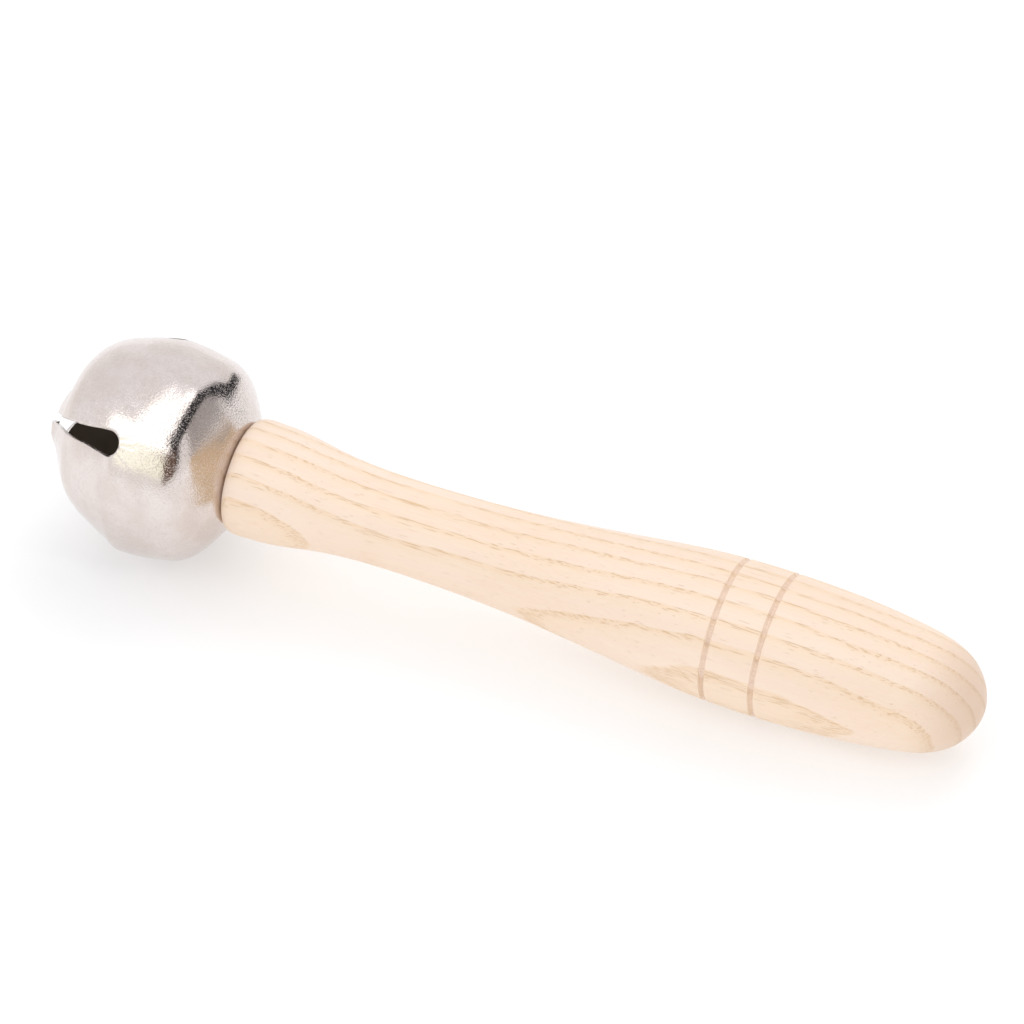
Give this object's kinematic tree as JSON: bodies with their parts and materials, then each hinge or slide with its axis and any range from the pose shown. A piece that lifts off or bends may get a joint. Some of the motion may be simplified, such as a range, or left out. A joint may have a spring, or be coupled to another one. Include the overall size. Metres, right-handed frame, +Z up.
{
  "type": "sleigh bell on a handle",
  "caption": "Hand-held sleigh bell: a folded, slotted sheet-metal jingle bell with a loose striker ball, screwed to the end of a turned wooden handle.",
  "frame": {"origin": "centre of the box's bottom face, on the surface that the bell and the handle's belly lie on", "axes": "+X from the bell towards the butt of the handle, +Z up; the handle's own axis lies in the XZ plane and slopes 3.2 degrees down towards the butt"},
  "size_m": [0.1691, 0.038, 0.038],
  "materials": {
    "nickel_plate": "bright nickel plate, lightly pitted",
    "ball_steel": "plain steel",
    "screw_steel": "zinc plated",
    "washer_steel": "zinc plated",
    "ash_wood": "sanded, unfinished"
  },
  "bodies": {
    "bell": {"bell_shell": "nickel_plate", "mounting_screw": "screw_steel", "screw_washer": "washer_steel", "handle": "ash_wood"},
    "striker": {"striker_ball": "ball_steel"}
  },
  "joints": [
    {"name": "striker_rattle", "type": "slide", "parent": "bell", "child": "striker", "axis": [0, 0, 1], "range_m": [0, 0.0282]}
  ]
}
